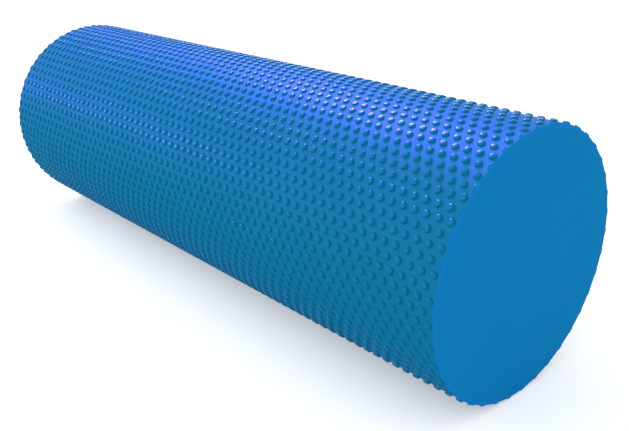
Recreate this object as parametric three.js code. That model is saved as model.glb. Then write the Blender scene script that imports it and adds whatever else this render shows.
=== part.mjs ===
// Massage roller: a solid foam log in a textured foam cover, closed at each end by a smooth foam disc.
// Millimetres, +Z up. The roller lies on the floor along X, and the origin is on the floor under its middle.
import * as THREE from "three";
import { toCreasedNormals } from "three/addons/utils/BufferGeometryUtils.js";

// Driving dimensions
const rollerDiameter = 150; // over the tips of the bumps
const rollerLength = 450;
const bumpHeight = 1.2;
const sheetThickness = 2.5; // the cover's foam under its bumps
const discThickness = 4;
const discRimRadius = 1; // softened edge of a disc's outer face
const bondGap = 0.3; // glue line between two pieces
const seamGap = 0.4; // between the two long edges of the cover

// The bumps stand in straight rows along the roller, each row half a pitch on from the row before it.
const bumpRows = 58; // an even number, so that the stagger runs on where the last row meets the first
const bumpsPerRow = 48;
const seamRow = 9; // rows from the floor to the seam, which puts it low on the back
const landLineShare = 1 / 3; // of the way to the next row lies the centre of three neighbouring tips
const discRimSteps = 3;
const creaseAngle = THREE.MathUtils.degToRad(50); // sharper edges than this are drawn as edges

// Radii and lengths that follow
const tipRadius = rollerDiameter / 2;
const landRadius = tipRadius - bumpHeight;
const coverBoreRadius = landRadius - sheetThickness;
const coreRadius = coverBoreRadius - bondGap;
const coreLength = rollerLength - 2 * (discThickness + bondGap);
const endPlane = rollerLength / 2;

// Places round the roller are angles from the floor up the back. The first row of bumps is at the floor.
const rowAngle = (2 * Math.PI) / bumpRows;
const bumpPitch = rollerLength / bumpsPerRow;
const seamAngle = (seamRow + landLineShare) * rowAngle;
const seamHalfAngle = seamGap / 2 / landRadius;

// The roller rests on three rows of bumps, the middle one pressed flush with the two beside it.
const axisHeight = tipRadius * Math.cos(rowAngle);

// The cover is built as the sheet that it is cut from, from one edge of its seam to the other, and wrapped.
// Each bump is a low three-sided peak. Its corners are the centres between three neighbouring tips, and what
// is left between the bumps is flat land, so land lines of corners run between the rows of tips.
function makeCover() {
  const positions = [];
  const triangles = [];

  function addPoint(along, angle, radius) {
    const height = axisHeight - radius * Math.cos(angle);
    positions.push(along, radius * Math.sin(angle), Math.max(height, 0));
    return positions.length / 3 - 1;
  }

  function addFace(a, b, c) {
    triangles.push(a, b, c);
  }

  function alongOf(point) {
    return positions[3 * point];
  }

  // Points of a row that starts on the end plane, or half a pitch in from it
  function rowPlaces(staggered) {
    const count = staggered ? bumpsPerRow : bumpsPerRow + 1;
    const start = staggered ? bumpPitch / 2 : 0;
    return Array.from({ length: count }, (_, i) => start + i * bumpPitch - endPlane);
  }

  // A land line reaches both end planes, whichever way its corners are staggered.
  function addLandLine(line) {
    const staggered = (seamRow + line) % 2 === 0;
    const places = rowPlaces(staggered);
    if (staggered) {
      places.unshift(-endPlane);
      places.push(endPlane);
    }
    const atFirstEdge = line === 0 ? seamHalfAngle : 0;
    const atLastEdge = line === bumpRows ? seamHalfAngle : 0;
    const angle = seamAngle + line * rowAngle + atFirstEdge - atLastEdge;
    const first = addPoint(-endPlane, angle, coverBoreRadius);
    const last = addPoint(endPlane, angle, coverBoreRadius);
    return { lands: places.map((along) => addPoint(along, angle, landRadius)), bore: [first, last] };
  }

  // A peak over its three corners. The trimmed ends halve some bumps, which have no side in the end plane.
  function addBump(tip, corners) {
    corners.forEach((corner, i) => {
      const next = corners[(i + 1) % corners.length];
      const trimmed = [corner, next].every((point) => alongOf(point) === alongOf(tip));
      if (!trimmed) addFace(corner, next, tip);
    });
  }

  // The cover's cut end between two land lines, over the tip that is cut through there if there is one
  function addTrimmedEnd(outline, boreBefore, boreAfter, outwards) {
    const loop = [...outline, boreAfter, boreBefore];
    const hub = outline.length > 2 ? outline[1] : boreBefore;
    loop.forEach((point, i) => {
      const next = loop[(i + 1) % loop.length];
      if (point === hub || next === hub) return;
      if (outwards) addFace(hub, point, next);
      else addFace(hub, next, point);
    });
  }

  const lines = Array.from({ length: bumpRows + 1 }, (_, line) => addLandLine(line));

  for (let row = 1; row <= bumpRows; row++) {
    const before = lines[row - 1];
    const after = lines[row];
    const staggered = (seamRow + row) % 2;
    const angle = (seamRow + row) * rowAngle;
    const tips = rowPlaces(staggered).map((along) => addPoint(along, angle, tipRadius));
    tips.forEach((tip, i) => {
      addBump(tip, [before.lands[i + staggered], after.lands[i], after.lands[i + 1]]);
    });
    for (let i = 0; i + 1 < before.lands.length; i++) {
      addFace(before.lands[i], after.lands[i + 1 - staggered], before.lands[i + 1]);
    }
    const cutTips = staggered ? [[], []] : [[tips.at(0)], [tips.at(-1)]];
    const leftOutline = [before.lands.at(0), ...cutTips[0], after.lands.at(0)];
    const rightOutline = [before.lands.at(-1), ...cutTips[1], after.lands.at(-1)];
    addTrimmedEnd(leftOutline, before.bore[0], after.bore[0], false);
    addTrimmedEnd(rightOutline, before.bore[1], after.bore[1], true);
    addFace(after.bore[0], before.bore[0], before.bore[1]);
    addFace(after.bore[0], before.bore[1], after.bore[1]);
  }

  // The two edges of the sheet, which face each other across the seam
  function addSeamEdge(line, flip) {
    const outline = [...line.lands, line.bore[1]];
    for (let i = 0; i + 1 < outline.length; i++) {
      if (flip) addFace(line.bore[0], outline[i + 1], outline[i]);
      else addFace(line.bore[0], outline[i], outline[i + 1]);
    }
  }
  addSeamEdge(lines[0], false);
  addSeamEdge(lines[bumpRows], true);

  const geometry = new THREE.BufferGeometry();
  geometry.setAttribute("position", new THREE.Float32BufferAttribute(positions, 3));
  geometry.setIndex(triangles);
  return toCreasedNormals(geometry, creaseAngle);
}

// A round piece about the roller's axis, from a profile of radius against distance along the roller.
// It has a side for each row of bumps and they start at the seam, so its glue line to the cover is even.
function turnedGeometry(profile) {
  const points = profile.map(([radius, along]) => new THREE.Vector2(radius, along));
  const firstSide = seamAngle - Math.PI;
  const geometry = new THREE.LatheGeometry(points, bumpRows, firstSide, 2 * Math.PI);
  geometry.rotateZ(-Math.PI / 2);
  geometry.translate(0, 0, axisHeight);
  return geometry;
}

function makeCore() {
  return turnedGeometry([
    [0, -coreLength / 2],
    [coreRadius, -coreLength / 2],
    [coreRadius, coreLength / 2],
    [0, coreLength / 2],
  ]);
}

// The profile of the right-hand disc, from its bonded back to its outer face
function discProfile() {
  const back = endPlane - discThickness;
  const rim = Array.from({ length: discRimSteps + 1 }, (_, i) => {
    const turn = (i / discRimSteps) * (Math.PI / 2);
    const radius = coreRadius - discRimRadius * (1 - Math.cos(turn));
    return [radius, endPlane - discRimRadius * (1 - Math.sin(turn))];
  });
  return [[0, back], [coreRadius, back], ...rim, [0, endPlane]];
}

function makeRightDisc() {
  return turnedGeometry(discProfile());
}

// The left-hand disc has the same profile, mirrored and walked the other way so that it still faces out.
function makeLeftDisc() {
  return turnedGeometry(discProfile().reverse().map(([radius, along]) => [radius, -along]));
}

// Foam as the photograph shows it: a glossy embossed skin on the cover, and matt faces on the discs
const embossedSkin = { color: 0x0176a8, roughness: 0.35, metalness: 0 };
const mattFoam = { color: 0x097bb4, roughness: 0.8, metalness: 0 };
const coreFoam = { color: 0x1c86b8, roughness: 0.95, metalness: 0 };

const roller = new THREE.Group();

function addPiece(name, geometry, finish) {
  const piece = new THREE.Mesh(geometry, new THREE.MeshStandardMaterial(finish));
  piece.name = name;
  roller.add(piece);
}

addPiece("foam_core", makeCore(), coreFoam);
addPiece("textured_cover", makeCover(), embossedSkin);
addPiece("end_disc_left", makeLeftDisc(), mattFoam);
addPiece("end_disc_right", makeRightDisc(), mattFoam);

export default roller;
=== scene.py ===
import math
from functools import partial

import bpy
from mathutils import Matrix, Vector


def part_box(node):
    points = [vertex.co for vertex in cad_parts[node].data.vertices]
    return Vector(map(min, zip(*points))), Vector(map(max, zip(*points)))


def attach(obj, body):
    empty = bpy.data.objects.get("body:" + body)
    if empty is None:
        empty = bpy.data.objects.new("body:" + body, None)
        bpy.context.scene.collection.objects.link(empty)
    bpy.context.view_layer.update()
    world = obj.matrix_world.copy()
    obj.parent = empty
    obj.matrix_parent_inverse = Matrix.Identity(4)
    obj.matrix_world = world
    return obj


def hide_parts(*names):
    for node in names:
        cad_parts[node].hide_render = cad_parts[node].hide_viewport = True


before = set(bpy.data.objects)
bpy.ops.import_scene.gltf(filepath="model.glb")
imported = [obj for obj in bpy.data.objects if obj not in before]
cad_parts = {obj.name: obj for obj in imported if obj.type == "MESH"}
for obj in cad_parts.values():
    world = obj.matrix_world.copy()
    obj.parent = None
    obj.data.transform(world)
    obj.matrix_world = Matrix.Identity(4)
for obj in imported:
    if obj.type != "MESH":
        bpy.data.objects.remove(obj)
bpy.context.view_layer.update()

MM = 0.001
COVER_LOW, COVER_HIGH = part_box("textured_cover")
DISC_LOW, DISC_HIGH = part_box("end_disc_right")
CORE_LOW, CORE_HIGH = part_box("foam_core")

# The bump grid: straight rows along the roller, each row half a pitch on from the row before it
BUMPS_ALONG = 64
ROWS_ROUND = 76
SEAM_ROWS_UP = 12.5  # rows from the floor to the cover's seam, low on the back
BUMP_HEIGHT = 1.2 * MM
BUMP_FOOT_RADIUS = 2.05 * MM
BUMP_RING_SHARES = ((1.12, 0.0), (1.0, 0.0), (0.8, 0.72), (0.6, 0.92))  # of the foot radius and the height
BUMP_SIDES = 12

# The cover's sheet
SHEET_THICKNESS = 2.5 * MM
SEAM_GAP = 0.12 * MM
TRIM_SOFTNESS = 0.7 * MM  # rounding of the trimmed ends
TRIM_ROOM = 1.75 * MM  # from a trimmed end, within which points crowd together to make room for that
TRIM_REACH = 2.0 * MM  # from a trimmed end, within which the cut has drawn the bumps down
TRIM_HEIGHT_SHARE = 0.5  # of a bump's height, which is left at the cut itself
BACK_PITCHES = 4  # between the corners of the sheet's back, which has fewer than its front
MAP_MARGIN = 10 * MM  # round the sheet on the cover's map
BACK_MAP_SHARE = 0.02  # of its real width, which the unseen back has on the cover's map
WELD = 0.01 * MM  # within which points are one
COVER_SHARP_FOLD = math.radians(80)  # sharper folds than this show as edges

# The turned pieces
GLUE_LINE = 0.02 * MM  # between a disc and the cover round it
DISC_RIM_RADIUS = 0.1 * MM
DISC_RIM_STEPS = 4
DISC_FACE_RINGS = (0, 0.35, 0.7, 0.9)  # rings of corners on a disc's flat faces, as shares of its radius
TURNED_SIDES = 2 * ROWS_ROUND
TURNED_SHARP_FOLD = math.radians(60)

# Patterns and gloss in the materials
SKIN_DRIFT = 60 * MM
FOAM_DRIFT = 45 * MM
PRESS_PATCH = 14 * MM
PRESS_SHARES = (0.85, 1.15)  # of the skin's roughness, from the patches pressed hardest to the others
PEBBLE = 0.3 * MM  # left in the skin by the embossing rolls
PEBBLE_DEPTH = 0.05 * MM
FOAM_CELL = 0.2 * MM
FOAM_CELL_DEPTH = 0.04 * MM
COARSER = 3  # times as coarse as they are, pebble and cells are drawn, so that they show from a step away
LAND_ROUGHNESS = 0.6
BUMP_ROUGHNESS = 0.22
GLOSS_SHARES = (0.3, 0.8)  # of a bump's height, between which the land's roughness gives way to the bump's
FOAM_ROUGHNESS = 0.85

ROLLER_LENGTH = COVER_HIGH.x - COVER_LOW.x
AXIS_HEIGHT = (DISC_LOW.z + DISC_HIGH.z) / 2
TIP_RADIUS = COVER_HIGH.z - AXIS_HEIGHT
LAND_RADIUS = TIP_RADIUS - BUMP_HEIGHT
BORE_RADIUS = LAND_RADIUS - SHEET_THICKNESS
PITCH = ROLLER_LENGTH / BUMPS_ALONG
ROW_WIDTH = LAND_RADIUS * 2 * math.pi / ROWS_ROUND


def linear(hex_colour):
    """The linear colour, with alpha, of an sRGB hex value such as "#097bb5"."""
    channels = [int(hex_colour[i:i + 2], 16) / 255 for i in (1, 3, 5)]
    return [c / 12.92 if c <= 0.04045 else ((c + 0.055) / 1.055) ** 2.4 for c in channels] + [1.0]


def add_node(tree, kind, inputs=(), **settings):
    """Adds one node, sets its properties, and sets its inputs to values or links them to other nodes.

    The inputs come in order, or by name or number. A node given as an input stands for its first output.
    """
    node = tree.nodes.new(kind)
    for name, value in settings.items():
        setattr(node, name, value)
    keyed = inputs if isinstance(inputs, dict) else dict(enumerate(inputs))
    for key, value in keyed.items():
        if isinstance(value, bpy.types.Node):
            value = value.outputs[0]
        if isinstance(value, bpy.types.NodeSocket):
            tree.links.new(value, node.inputs[key])
        else:
            node.inputs[key].default_value = value
    return node


def new_piece(name, mesh):
    piece = bpy.data.objects.new(name, mesh)
    bpy.context.scene.collection.objects.link(piece)
    return piece


# Materials

COLOUR_A, COLOUR_B, MIXED_COLOUR = 6, 7, 2  # a Mix node's sockets for colours, by their place in it


def new_material(name):
    """An empty material, and the way to add nodes to it."""
    material = bpy.data.materials.new(name)
    material.use_nodes = True
    material.node_tree.nodes.clear()
    return material, partial(add_node, material.node_tree)


def drifting_colour(add, place, drift_size, darker, lighter):
    """Foam differs a little in colour from one hand's width to the next."""
    drift = add("ShaderNodeTexNoise", {"Vector": place, "Scale": 1 / drift_size, "Detail": 2.0})
    shades = {"Factor": drift, COLOUR_A: linear(darker), COLOUR_B: linear(lighter)}
    return add("ShaderNodeMix", shades, data_type="RGBA").outputs[MIXED_COLOUR]


def fine_relief(add, place, real_size, depth, strength):
    """A grain that the light catches on, drawn coarser than it is."""
    scale = 1 / (COARSER * real_size)
    grain = add("ShaderNodeTexNoise", {"Vector": place, "Scale": scale, "Detail": 2.0})
    return add("ShaderNodeBump", {"Strength": strength, "Distance": depth, "Height": grain})


def skin_roughness(add, place):
    """The bumps shine more than the land between them, so this goes by the distance from the axis."""
    across = add("ShaderNodeVectorMath", [place, (0, 1, 1)], operation="MULTIPLY")
    radius = add("ShaderNodeVectorMath", [across, (0, 0, AXIS_HEIGHT)], operation="DISTANCE")
    by_height = add("ShaderNodeMapRange", {
        "Value": radius.outputs["Value"],
        "From Min": LAND_RADIUS + GLOSS_SHARES[0] * BUMP_HEIGHT,
        "From Max": LAND_RADIUS + GLOSS_SHARES[1] * BUMP_HEIGHT,
        "To Min": LAND_ROUGHNESS,
        "To Max": BUMP_ROUGHNESS,
    })
    # Patches that the roll pressed harder are a little smoother.
    press = add("ShaderNodeTexNoise", {"Vector": place, "Scale": 1 / PRESS_PATCH, "Detail": 1.0})
    press_share = add("ShaderNodeMapRange", {
        "Value": press, "To Min": PRESS_SHARES[0], "To Max": PRESS_SHARES[1],
    })
    return add("ShaderNodeMath", [by_height, press_share], operation="MULTIPLY")


def embossed_eva_skin():
    """EVA foam hot-pressed between embossing rolls: a closed skin, glossy on the bumps, satin elsewhere."""
    material, add = new_material("embossed_eva_skin")
    place = add("ShaderNodeTexCoord").outputs["Object"]
    # EVA has an IOR near 1.5, and its gloss would be white. In the photo it is violet-blue, also at a
    # glancing angle. A high IOR under a dark tint matches that.
    surface = add("ShaderNodeBsdfPrincipled", {
        "Base Color": drifting_colour(add, place, SKIN_DRIFT, "#007691", "#007a98"),
        "Roughness": skin_roughness(add, place),
        "IOR": 4.0,
        "Specular IOR Level": 0.5,
        "Specular Tint": linear("#261b84"),
        "Normal": fine_relief(add, place, PEBBLE, PEBBLE_DEPTH, strength=0.5),
    })
    add("ShaderNodeOutputMaterial", [surface])
    return material


def cut_eva_foam(name, darker, lighter):
    """EVA foam cut with a blade: matt, with closed cells too small to see one by one."""
    material, add = new_material(name)
    place = add("ShaderNodeTexCoord").outputs["Object"]
    # The cells that the blade opens scatter nearly all the light, so the gloss is faint, and tinted much as
    # the skin's is. Their grain keeps a face from looking as flat as paint.
    surface = add("ShaderNodeBsdfPrincipled", {
        "Base Color": drifting_colour(add, place, FOAM_DRIFT, darker, lighter),
        "Roughness": FOAM_ROUGHNESS,
        "IOR": 1.5,
        "Specular IOR Level": 0.05,
        "Specular Tint": linear("#8000ff"),
        "Normal": fine_relief(add, place, FOAM_CELL, FOAM_CELL_DEPTH, strength=0.3),
    })
    add("ShaderNodeOutputMaterial", [surface])
    return material


# The cover

def bump_cell():
    """One bump and the land round it, flat: a pitch long and a row wide, with its middle at the origin."""
    half_pitch, half_row = PITCH / 2, ROW_WIDTH / 2
    border_x = [half_pitch, half_pitch, half_pitch / 2, 0, -half_pitch / 2, -half_pitch]
    border_y = [0, half_row, half_row, half_row, half_row, half_row]
    rings = [[Vector((x, y, 0)) for x, y in zip(border_x, border_y)]]
    rings[0] += [-point for point in rings[0]]
    turns = [2 * math.pi * i / BUMP_SIDES for i in range(BUMP_SIDES)]
    for radius_share, height_share in BUMP_RING_SHARES:
        radius, height = BUMP_FOOT_RADIUS * radius_share, BUMP_HEIGHT * height_share
        rings.append([Vector((radius * math.cos(t), radius * math.sin(t), height)) for t in turns])
    points = [point for ring in rings for point in ring] + [Vector((0, 0, BUMP_HEIGHT))]
    tip = len(points) - 1
    faces = []
    for level in range(len(rings)):
        for i in range(BUMP_SIDES):
            here = level * BUMP_SIDES + i
            beside = level * BUMP_SIDES + (i + 1) % BUMP_SIDES
            if level + 1 < len(rings):
                faces.append((here, beside, beside + BUMP_SIDES, here + BUMP_SIDES))
            else:
                faces.append((here, beside, tip))
    mesh = bpy.data.meshes.new("bump_cell")
    mesh.from_pydata(points, [], faces)
    return mesh


COVER_INPUTS = {
    "Pitch": PITCH,
    "Row Width": ROW_WIDTH,
    "Bumps Along": BUMPS_ALONG,
    "Rows Round": ROWS_ROUND,
    "Land Radius": LAND_RADIUS,
    "Sheet Thickness": SHEET_THICKNESS,
    "Trim Softness": TRIM_SOFTNESS,
    "Trim Room": TRIM_ROOM,
    "Trim Reach": TRIM_REACH,
    "Trim Height Share": TRIM_HEIGHT_SHARE,
    "Back Pitches": BACK_PITCHES,
    "Axis Height": AXIS_HEIGHT,
    "Seam Rows Up": SEAM_ROWS_UP,
    "Seam Gap": SEAM_GAP,
}


def new_cover_tree():
    """The tree before it has any nodes, with its named inputs."""
    tree = bpy.data.node_groups.new("embossed_cover", "GeometryNodeTree")
    tree.interface.new_socket("Cell", in_out="INPUT", socket_type="NodeSocketGeometry")
    for name, value in COVER_INPUTS.items():
        kind = "NodeSocketInt" if isinstance(value, int) else "NodeSocketFloat"
        tree.interface.new_socket(name, in_out="INPUT", socket_type=kind)
    for name in ("Skin", "Cut Foam"):
        tree.interface.new_socket(name, in_out="INPUT", socket_type="NodeSocketMaterial")
    tree.interface.new_socket("Cover", in_out="OUTPUT", socket_type="NodeSocketGeometry")
    return tree


def cover_tree():
    """Lays bump cells side by side as a flat sheet, gives it its cut edges and its back, and wraps it.

    The flat sheet has a corner at the origin, the roller's length along X and the way round it along Y.
    """
    tree = new_cover_tree()
    add = partial(add_node, tree)
    given = add("NodeGroupInput").outputs

    # Sizes of the sheet
    steps = add("ShaderNodeCombineXYZ", [given["Pitch"], given["Row Width"], 0.0])
    counts = add("ShaderNodeCombineXYZ", [given["Bumps Along"], given["Rows Round"], 0.0])
    size = add("ShaderNodeVectorMath", [steps, counts], operation="MULTIPLY")
    half = add("ShaderNodeVectorMath", [size, (0.5, 0.5, 0.5)], operation="MULTIPLY")
    length, width = add("ShaderNodeSeparateXYZ", [size]).outputs[:2]
    half_length, half_width = add("ShaderNodeSeparateXYZ", [half]).outputs[:2]
    thickness_down = add("ShaderNodeMath", [given["Sheet Thickness"], -1.0], operation="MULTIPLY")
    to_back = add("ShaderNodeCombineXYZ", [0.0, 0.0, thickness_down])

    # Where a point is on it
    place = add("GeometryNodeInputPosition")
    height = add("ShaderNodeSeparateXYZ", [place]).outputs["Z"]
    from_middle = add("ShaderNodeVectorMath", [place, half], operation="SUBTRACT")
    along, across = add("ShaderNodeSeparateXYZ", [from_middle]).outputs[:2]
    distance_along = add("ShaderNodeMath", [along], operation="ABSOLUTE")

    def border_side(from_middle_line, half_size):
        """-1 and 1 on the two borders of the sheet on either side of a middle line, and 0 between them."""
        distance = add("ShaderNodeMath", [from_middle_line], operation="ABSOLUTE")
        inside = add("ShaderNodeMath", [half_size, WELD], operation="SUBTRACT")
        on_border = add("ShaderNodeMath", [distance, inside], operation="GREATER_THAN")
        sign = add("ShaderNodeMath", [from_middle_line], operation="SIGN")
        return add("ShaderNodeMath", [sign, on_border], operation="MULTIPLY")

    def laid_cells():
        """A cell for each bump. Every second row has one bump more, and is cut through at both its ends."""
        in_a_row = add("FunctionNodeIntegerMath", [given["Bumps Along"], 1], operation="ADD")
        count = add("FunctionNodeIntegerMath", [in_a_row, given["Rows Round"]], operation="MULTIPLY")
        index = add("GeometryNodeInputIndex")
        row = add("FunctionNodeIntegerMath", [index, in_a_row], operation="DIVIDE_FLOOR")
        column = add("FunctionNodeIntegerMath", [index, in_a_row], operation="MODULO")
        rows_up = add("ShaderNodeMath", [row, given["Seam Rows Up"]], operation="ADD")
        whole_rows_up = add("ShaderNodeMath", [rows_up], operation="FLOOR")
        staggered = add("ShaderNodeMath", [whole_rows_up, 2.0], operation="MODULO")
        pitches_along = add("ShaderNodeMath", [staggered, 0.5, column], operation="MULTIPLY_ADD")
        rows_across = add("ShaderNodeMath", [row, 0.5], operation="ADD")
        number = add("ShaderNodeCombineXYZ", [pitches_along, rows_across, 0.0])
        middles = add("ShaderNodeVectorMath", [number, steps], operation="MULTIPLY")
        points = add("GeometryNodePoints", {"Count": count, "Position": middles})
        cells = add("GeometryNodeInstanceOnPoints", {"Points": points, "Instance": given["Cell"]})
        laid = add("GeometryNodeRealizeInstances", [cells])
        beyond = add("ShaderNodeMath", [distance_along, half_length], operation="GREATER_THAN")
        trimmed = add("GeometryNodeDeleteGeometry", {"Geometry": laid, "Selection": beyond}, domain="FACE")
        return add("GeometryNodeMergeByDistance", {"Geometry": trimmed, "Distance": WELD})

    sided = add("GeometryNodeStoreNamedAttribute", {
        "Geometry": laid_cells(), "Name": "end_side", "Value": border_side(along, half_length),
    }, data_type="FLOAT", domain="POINT")
    end_side = add("GeometryNodeInputNamedAttribute", {"Name": "end_side"}, data_type="FLOAT")
    at_end = add("ShaderNodeMath", [end_side], operation="ABSOLUTE")

    def with_low_ends(sheet):
        """Bumps get lower near a trimmed end, and points there move in to make room for its rounding."""
        from_end = add("ShaderNodeMath", [half_length, distance_along], operation="SUBTRACT")
        crowding = add("ShaderNodeMapRange", {
            "Value": from_end,
            "From Max": given["Trim Room"],
            "To Min": given["Trim Softness"],
            "To Max": 0.0,
        })
        way_out = add("ShaderNodeMath", [along], operation="SIGN")
        outwards = add("ShaderNodeMath", [way_out, crowding], operation="MULTIPLY")
        inwards = add("ShaderNodeMath", [outwards, -1.0], operation="MULTIPLY")
        height_share = add("ShaderNodeMapRange", {
            "Value": from_end,
            "From Max": given["Trim Reach"],
            "To Min": given["Trim Height Share"],
            "To Max": 1.0,
        })
        shares = add("ShaderNodeCombineXYZ", [1.0, 1.0, height_share])
        move = add("ShaderNodeCombineXYZ", [inwards, 0.0, 0.0])
        moved = add("ShaderNodeVectorMath", [place, shares, move], operation="MULTIPLY_ADD")
        return add("GeometryNodeSetPosition", {"Geometry": sheet, "Position": moved})

    def with_cut_edges(sheet):
        """The sheet's border, rounded over at the trimmed ends, and pulled out into its cut edges."""
        edge_faces = add("GeometryNodeInputMeshEdgeNeighbors")
        edge = add("ShaderNodeMath", [edge_faces, 1.5], operation="LESS_THAN")
        cut_faces = 0.0
        eighth = math.pi / 4
        for turned in (0, eighth):
            out_share = math.sin(turned + eighth) - math.sin(turned)
            down_share = math.cos(turned) - math.cos(turned + eighth)
            out = add("ShaderNodeMath", [end_side, out_share], operation="MULTIPLY")
            down = add("ShaderNodeMath", [at_end, -down_share], operation="MULTIPLY")
            way = add("ShaderNodeCombineXYZ", [out, 0.0, down])
            step = add("ShaderNodeVectorMath", [way, given["Trim Softness"]], operation="MULTIPLY")
            pulled = add("GeometryNodeExtrudeMesh", {
                "Mesh": sheet, "Selection": edge, "Offset Scale": 0.0,
            }, mode="EDGES")
            edge = pulled.outputs["Top"]
            cut_faces = add("ShaderNodeMath", [cut_faces, pulled.outputs["Side"]], operation="MAXIMUM")
            sheet = add("GeometryNodeSetPosition", {"Geometry": pulled, "Selection": edge, "Offset": step})
        pulled = add("GeometryNodeExtrudeMesh", {
            "Mesh": sheet, "Selection": edge, "Offset Scale": 0.0,
        }, mode="EDGES")
        # The edges end on the corners of the sheet's back, which has far fewer of them.
        step_counts = add("ShaderNodeCombineXYZ", [given["Back Pitches"], 1.0, 0.0])
        back_steps = add("ShaderNodeVectorMath", [steps, step_counts], operation="MULTIPLY")
        quarter = (0.25, 0.25, 0)
        quarter_on = add("ShaderNodeVectorMath", [back_steps, quarter, place], operation="MULTIPLY_ADD")
        snapped = add("ShaderNodeVectorMath", [quarter_on, back_steps], operation="SNAP")
        edged = add("GeometryNodeSetPosition", {
            "Geometry": pulled,
            "Selection": pulled.outputs["Top"],
            "Position": add("ShaderNodeVectorMath", [snapped, to_back], operation="ADD"),
        })
        cut_faces = add("ShaderNodeMath", [cut_faces, pulled.outputs["Side"]], operation="MAXIMUM")
        return add("GeometryNodeStoreNamedAttribute", {
            "Geometry": edged, "Name": "cut_face", "Value": cut_faces,
        }, data_type="BOOLEAN", domain="FACE")

    def sheet_back():
        """The sheet's plain side, glued to the log."""
        columns = add("ShaderNodeMath", [given["Bumps Along"], given["Back Pitches"]], operation="DIVIDE")
        grid = add("GeometryNodeMeshGrid", {
            "Size X": length,
            "Size Y": width,
            "Vertices X": add("ShaderNodeMath", [columns, 1.0], operation="ADD"),
            "Vertices Y": add("ShaderNodeMath", [given["Rows Round"], 1.0], operation="ADD"),
        })
        middle = add("ShaderNodeVectorMath", [half, to_back], operation="ADD")
        moved = add("GeometryNodeTransform", {"Geometry": grid, "Translation": middle})
        turned_over = add("GeometryNodeFlipFaces", [moved])
        return add("GeometryNodeStoreNamedAttribute", {
            "Geometry": turned_over, "Name": "cut_face", "Value": True,
        }, data_type="BOOLEAN", domain="FACE")

    # The unrolled sheet is its own map, with its cut edges folded out and its back squeezed in beside it.
    def mapped(geometry, places):
        map_size = add("ShaderNodeMath", [width, 4 * MAP_MARGIN], operation="ADD")
        return add("GeometryNodeStoreNamedAttribute", {
            "Geometry": geometry,
            "Name": "OFBake",
            "Value": add("ShaderNodeVectorMath", [places, map_size], operation="DIVIDE"),
        }, data_type="FLOAT2", domain="CORNER")

    def front_places():
        """Places on the map for the bumps and for the cut edges round them."""
        sides = add("ShaderNodeCombineXYZ", [end_side, border_side(across, half_width), 0.0])
        below = add("ShaderNodeMath", [height, -1.0], operation="MULTIPLY")
        depth = add("ShaderNodeMath", [below, 0.0], operation="MAXIMUM")
        folded_out = add("ShaderNodeVectorMath", [sides, depth, place], operation="MULTIPLY_ADD")
        return add("ShaderNodeVectorMath", [folded_out, (MAP_MARGIN, MAP_MARGIN, 0)], operation="ADD")

    def back_places():
        past_front = add("ShaderNodeMath", [width, 2 * MAP_MARGIN], operation="ADD")
        start = add("ShaderNodeCombineXYZ", [MAP_MARGIN, past_front, 0.0])
        shares = (1, BACK_MAP_SHARE, 0)
        return add("ShaderNodeVectorMath", [place, shares, start], operation="MULTIPLY_ADD")

    def wrapped(sheet):
        """The sheet wrapped from one side of the seam to the other, its lowest bumps pressed flat."""
        row_angle = add("ShaderNodeMath", [2 * math.pi, given["Rows Round"]], operation="DIVIDE")
        seam_rows = given["Seam Rows Up"]
        middle_angle = add("ShaderNodeMath", [seam_rows, row_angle, math.pi], operation="MULTIPLY_ADD")
        gap_angle = add("ShaderNodeMath", [given["Seam Gap"], given["Land Radius"]], operation="DIVIDE")
        turn = add("ShaderNodeMath", [2 * math.pi, gap_angle], operation="SUBTRACT")
        share = add("ShaderNodeMath", [across, width], operation="DIVIDE")
        angle = add("ShaderNodeMath", [share, turn, middle_angle], operation="MULTIPLY_ADD")
        sine = add("ShaderNodeMath", [angle], operation="SINE")
        cosine = add("ShaderNodeMath", [angle], operation="COSINE")
        radius = add("ShaderNodeMath", [given["Land Radius"], height], operation="ADD")
        to_the_back = add("ShaderNodeMath", [radius, sine], operation="MULTIPLY")
        below_axis = add("ShaderNodeMath", [radius, cosine], operation="MULTIPLY")
        above_floor = add("ShaderNodeMath", [given["Axis Height"], below_axis], operation="SUBTRACT")
        pressed = add("ShaderNodeMath", [above_floor, 0.0], operation="MAXIMUM")
        round_the_log = add("ShaderNodeCombineXYZ", [along, to_the_back, pressed])
        roll = add("GeometryNodeSetPosition", {"Geometry": sheet, "Position": round_the_log})
        # The bump side goes outwards, which mirrors the sheet, so its faces are turned round.
        return add("GeometryNodeFlipFaces", [roll])

    front = with_cut_edges(with_low_ends(sided))
    both = add("GeometryNodeJoinGeometry")
    for side in (mapped(sheet_back(), back_places()), mapped(front, front_places())):
        tree.links.new(side.outputs[0], both.inputs[0])
    closed = add("GeometryNodeMergeByDistance", {"Geometry": both, "Distance": WELD})
    fold = add("GeometryNodeInputMeshEdgeAngle")
    smooth = add("GeometryNodeSetShadeSmooth", {
        "Geometry": wrapped(closed),
        "Shade Smooth": add("ShaderNodeMath", [fold, COVER_SHARP_FOLD], operation="LESS_THAN"),
    }, domain="EDGE")
    finished = add("GeometryNodeRealizeInstances", [smooth])
    cut = add("GeometryNodeInputNamedAttribute", {"Name": "cut_face"}, data_type="BOOLEAN")
    uncut = add("ShaderNodeMath", [1.0, cut], operation="SUBTRACT")
    foamed = add("GeometryNodeSetMaterial", {
        "Geometry": finished, "Selection": cut, "Material": given["Cut Foam"],
    })
    skinned = add("GeometryNodeSetMaterial", {
        "Geometry": foamed, "Selection": uncut, "Material": given["Skin"],
    })
    add("NodeGroupOutput", [skinned])
    return tree


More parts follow.
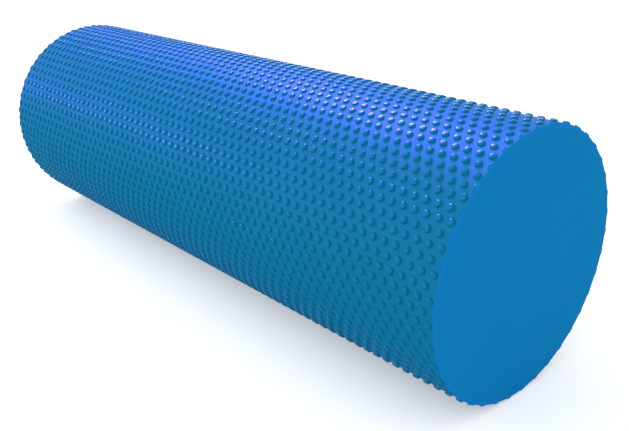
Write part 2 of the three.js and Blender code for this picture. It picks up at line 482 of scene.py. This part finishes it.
def make_cover(skin, cut_foam):
    """The cover as a plain mesh, which its tree makes from one bump cell."""
    laying = new_piece("cover_laying", bump_cell())
    modifier = laying.modifiers.new("cover", "NODES")
    tree = cover_tree()
    modifier.node_group = tree
    values = {**COVER_INPUTS, "Skin": skin, "Cut Foam": cut_foam}
    for item in tree.interface.items_tree:
        if item.in_out == "INPUT" and item.name in values:
            modifier[item.identifier] = values[item.name]
    seen = laying.evaluated_get(bpy.context.evaluated_depsgraph_get())
    mesh = bpy.data.meshes.new_from_object(seen)
    mesh.materials.pop(index=0)  # the cell's empty one
    bpy.data.objects.remove(laying)
    return new_piece("embossed_cover", mesh)


# The turned pieces

def turned_mesh(name, profile, material):
    """A closed round piece about the roller's axis, from its places along the roller and their radii."""
    points, rings = [], []
    for along, radius in profile:
        if radius == 0:
            rings.append([len(points)] * TURNED_SIDES)
            points.append((along, 0, AXIS_HEIGHT))
            continue
        rings.append([len(points) + i for i in range(TURNED_SIDES)])
        for i in range(TURNED_SIDES):
            angle = 2 * math.pi * i / TURNED_SIDES
            points.append((along, radius * math.sin(angle), AXIS_HEIGHT - radius * math.cos(angle)))
    faces = []
    for before, after in zip(rings, rings[1:]):
        for i in range(TURNED_SIDES):
            j = (i + 1) % TURNED_SIDES
            corners = [before[i], before[j], after[j], after[i]]
            faces.append(list(dict.fromkeys(corners)))
    mesh = bpy.data.meshes.new(name)
    mesh.from_pydata(points, [], faces)
    mesh.shade_smooth()
    mesh.set_sharp_from_angle(angle=TURNED_SHARP_FOLD)
    mesh.materials.append(material)
    return mesh


def disc_profile(low, high):
    """From the disc's left face to its right one. Both rims are a little soft."""
    radius = BORE_RADIUS - GLUE_LINE
    soft = DISC_RIM_RADIUS
    turns = [i / DISC_RIM_STEPS * math.pi / 2 for i in range(DISC_RIM_STEPS + 1)]
    left = [(low + soft * (1 - math.cos(t)), radius - soft * (1 - math.sin(t))) for t in turns]
    right = [(high - (along - low), r) for along, r in reversed(left)]
    face = [radius * share for share in DISC_FACE_RINGS]
    return [(low, r) for r in face] + left + right + [(high, r) for r in reversed(face)]


def make_disc(node, material):
    low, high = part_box(node)
    name = node.replace("end_disc", "end_facing")
    return new_piece(name, turned_mesh(name, disc_profile(low.x, high.x), material))


def make_core(material):
    radius = (CORE_HIGH.z - CORE_LOW.z) / 2
    profile = [(CORE_LOW.x, 0), (CORE_LOW.x, radius), (CORE_HIGH.x, radius), (CORE_HIGH.x, 0)]
    return new_piece("foam_log", turned_mesh("foam_log", profile, material))


def finish_piece(piece, node):
    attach(piece, "root")
    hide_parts(node)


skin = embossed_eva_skin()
foam = cut_eva_foam("cut_eva_sheet", "#0580bc", "#0a81c0")
# The cover's cut edge, with its rounded rim at the trimmed ends, is cut foam like the end face. It is
# coloured a little lighter and more violet than that face: a painted highlight for the sheen that the
# rounded rim catches.
edge_foam_painted_highlight = cut_eva_foam("cut_eva_cover_edge_painted_highlight", "#0c7fc6", "#107fca")
log_foam = cut_eva_foam("cut_eva_log", "#1a84b6", "#1e88ba")
finish_piece(make_cover(skin, edge_foam_painted_highlight), "textured_cover")
finish_piece(make_disc("end_disc_left", foam), "end_disc_left")
finish_piece(make_disc("end_disc_right", foam), "end_disc_right")
finish_piece(make_core(log_foam), "foam_core")


# The studio

WORLD_LIGHT = 0.92  # strength of the white world in the light that it gives
FLOOR_REACH = 12.0
FLOOR_GLOW = 0.35
LENS = 44.71  # in millimetres, on a sensor 36 mm wide
SENSOR_WIDTH = 36.0
CAMERA_AZIMUTH = math.radians(48.08)
CAMERA_ELEVATION = math.radians(21.37)
CAMERA_FROM_MIDDLE = Vector((416.6, -317.1, 167.3)) * MM


def shown_ray(add):
    """1 for the rays that see a background: from the camera, from a reflection or through glass."""
    ray = add("ShaderNodeLightPath").outputs
    straight = add("ShaderNodeMath", [ray["Is Camera Ray"], ray["Is Glossy Ray"]], operation="MAXIMUM")
    return add("ShaderNodeMath", [straight, ray["Is Transmission Ray"]], operation="MAXIMUM")


def light_studio():
    world = bpy.data.worlds.new("white_studio")
    bpy.context.scene.world = world
    world.use_nodes = True
    world.node_tree.nodes.clear()
    add = partial(add_node, world.node_tree)
    # White where it shows, and a little less in the light that it gives
    strength = add("ShaderNodeMapRange", {"Value": shown_ray(add), "To Min": WORLD_LIGHT, "To Max": 1.0})
    background = add("ShaderNodeBackground", {"Color": linear("#ffffff"), "Strength": strength})
    add("ShaderNodeOutputWorld", [background])


def add_softbox(name, towards, distance, size, level, lights_all=False):
    """A square lamp, aimed at the roller's middle. At level 1 it is as bright as the white round it."""
    lamp = bpy.data.lights.new(name, "AREA")
    lamp.shape = "SQUARE"
    lamp.size = size
    lamp.energy = level * math.pi * size ** 2
    softbox = new_piece(name, lamp)
    direction = Vector(towards).normalized()
    softbox.location = Vector((0, 0, AXIS_HEIGHT)) + direction * distance
    softbox.rotation_euler = direction.to_track_quat("Z", "Y").to_euler()
    softbox.visible_camera = False
    # Most lamps only show in the gloss, since the photo's light on the foam itself is even all round.
    softbox.visible_diffuse = lights_all


def make_floor():
    """A white floor that keeps the shadow. Its glow lights nothing, and shows it as white beyond that."""
    mesh = bpy.data.meshes.new("white_floor")
    signs = ((-1, -1), (1, -1), (1, 1), (-1, 1))
    mesh.from_pydata([(x * FLOOR_REACH, y * FLOOR_REACH, 0) for x, y in signs], [], [(0, 1, 2, 3)])
    material, add = new_material("white_floor")
    matt = add("ShaderNodeBsdfDiffuse", {"Color": linear("#f5f5f5")})
    strength = add("ShaderNodeMath", [shown_ray(add), FLOOR_GLOW], operation="MULTIPLY")
    glow = add("ShaderNodeEmission", {"Strength": strength})
    both = add("ShaderNodeAddShader", [matt, glow])
    add("ShaderNodeOutputMaterial", [both])
    mesh.materials.append(material)
    new_piece("white_floor", mesh)


def place_camera():
    """The photograph's viewpoint, from a perspective cylinder fitted to the roller's outline in it.

    It stands 0.4 % nearer than the fit says, because the trimmed rims are a little lower than the bumps.
    """
    camera = new_piece("camera", bpy.data.cameras.new("camera"))
    camera.data.sensor_width = SENSOR_WIDTH
    camera.data.lens = LENS
    camera.location = CAMERA_FROM_MIDDLE + Vector((0, 0, AXIS_HEIGHT))
    camera.rotation_euler = (math.pi / 2 - CAMERA_ELEVATION, 0, CAMERA_AZIMUTH)
    camera.data.clip_start = 10 * MM
    bpy.context.scene.camera = camera


make_floor()
light_studio()
add_softbox("side_softbox", towards=(-0.8, -0.45, 0.4), distance=1.6, size=1.6, level=1.5, lights_all=True)
# The violet-blue sheen along the top, the white sparkles on the bumps in it, and the small ones below it
add_softbox("left_softbox", towards=(-0.85, 0.25, 0.46), distance=1.6, size=1.8, level=2.2)
add_softbox("back_softbox", towards=(-0.55, 0.8, 0.25), distance=1.6, size=1.5, level=2.4)
add_softbox("spot_softbox", towards=(-0.585, 0.34, 0.735), distance=1.2, size=0.36, level=170.0)
add_softbox("low_spot_softbox", towards=(-0.83, -0.45, 0.22), distance=1.2, size=0.08, level=260.0)
place_camera()
bpy.context.scene.view_settings.view_transform = "Standard"
